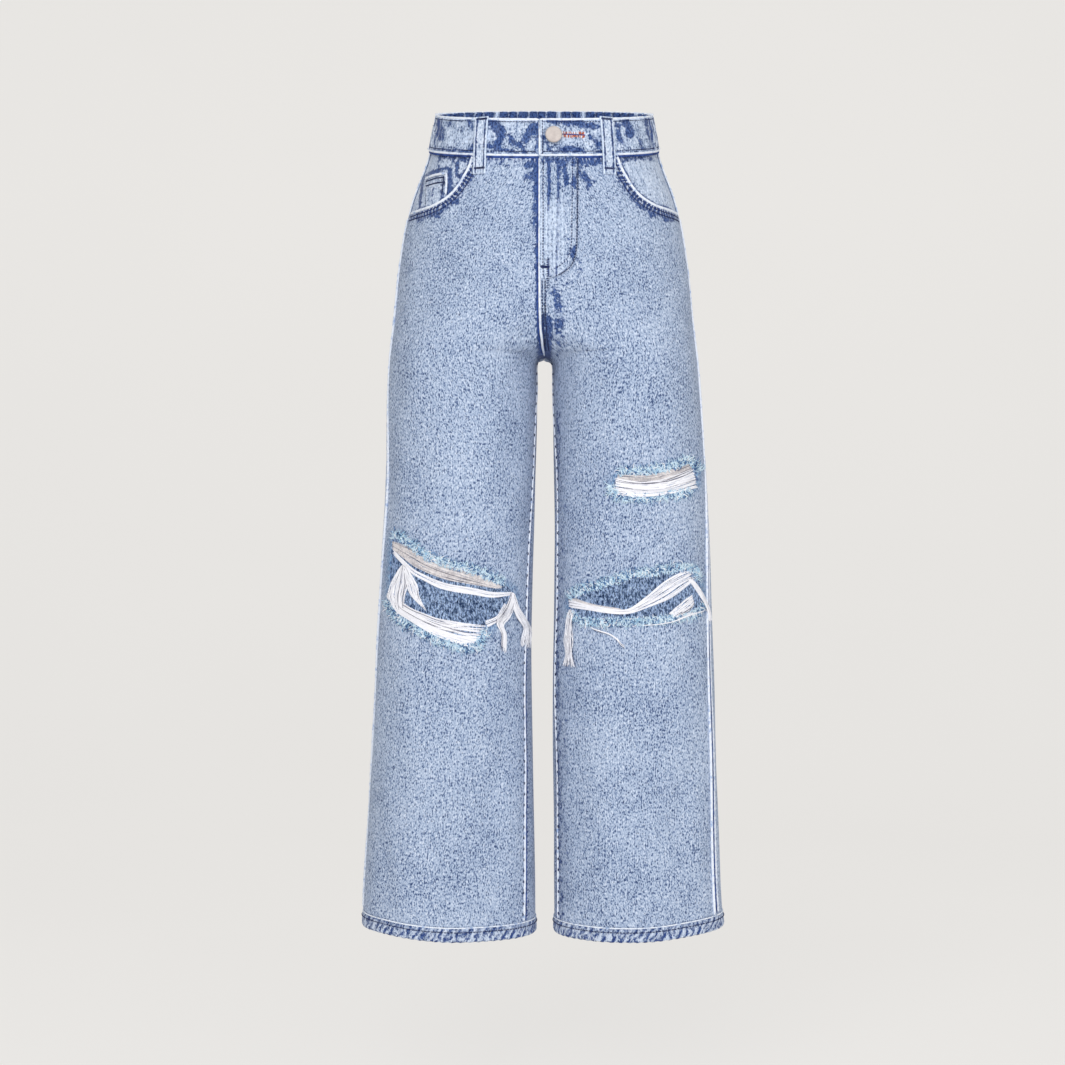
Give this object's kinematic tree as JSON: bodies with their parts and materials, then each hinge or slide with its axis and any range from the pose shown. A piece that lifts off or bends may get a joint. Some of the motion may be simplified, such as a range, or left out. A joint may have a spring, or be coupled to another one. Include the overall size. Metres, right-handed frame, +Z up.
{
  "type": "ripped jeans",
  "caption": "Wide-leg light-wash ripped jeans, high waist with gathered elastic back, filled out as if worn, frayed knee and thigh rips, open at waist and hems.",
  "frame": {"origin": "centre of the waist ring, half way up the waistband, where the wearer's waist holds the garment up", "axes": "+Z up along the body, -Y the garment's front, +X the wearer's left"},
  "size_m": [0.3874, 0.22, 0.8961],
  "materials": {
    "denim": "stone-washed cotton denim",
    "denim_light": "paler worn cotton denim",
    "denim_deep": "roped hem of cotton denim",
    "yarn": "bare frayed cotton yarn",
    "button_metal": "matte pale metal"
  },
  "bodies": {
    "root": {"front_left": "denim", "front_right": "denim", "back_left": "denim", "back_right": "denim", "yoke_left": "denim", "yoke_right": "denim", "waistband_front_left": "denim", "waistband_front_right": "denim", "waistband_back": "denim", "pocket_facing_left": "denim_light", "pocket_facing_right": "denim_light", "back_pocket_left": "denim_light", "back_pocket_right": "denim_light", "coin_pocket": "denim_light", "fly": "denim_light", "belt_loop_front_left": "denim_light", "belt_loop_front_right": "denim_light", "belt_loop_back_left": "denim_light", "belt_loop_back_centre": "denim_light", "belt_loop_back_right": "denim_light", "hem_left": "denim_deep", "hem_right": "denim_deep", "rip_knee_right": "yarn", "rip_thigh_left": "yarn", "rip_knee_left": "yarn", "button": "button_metal"}
  },
  "joints": []
}
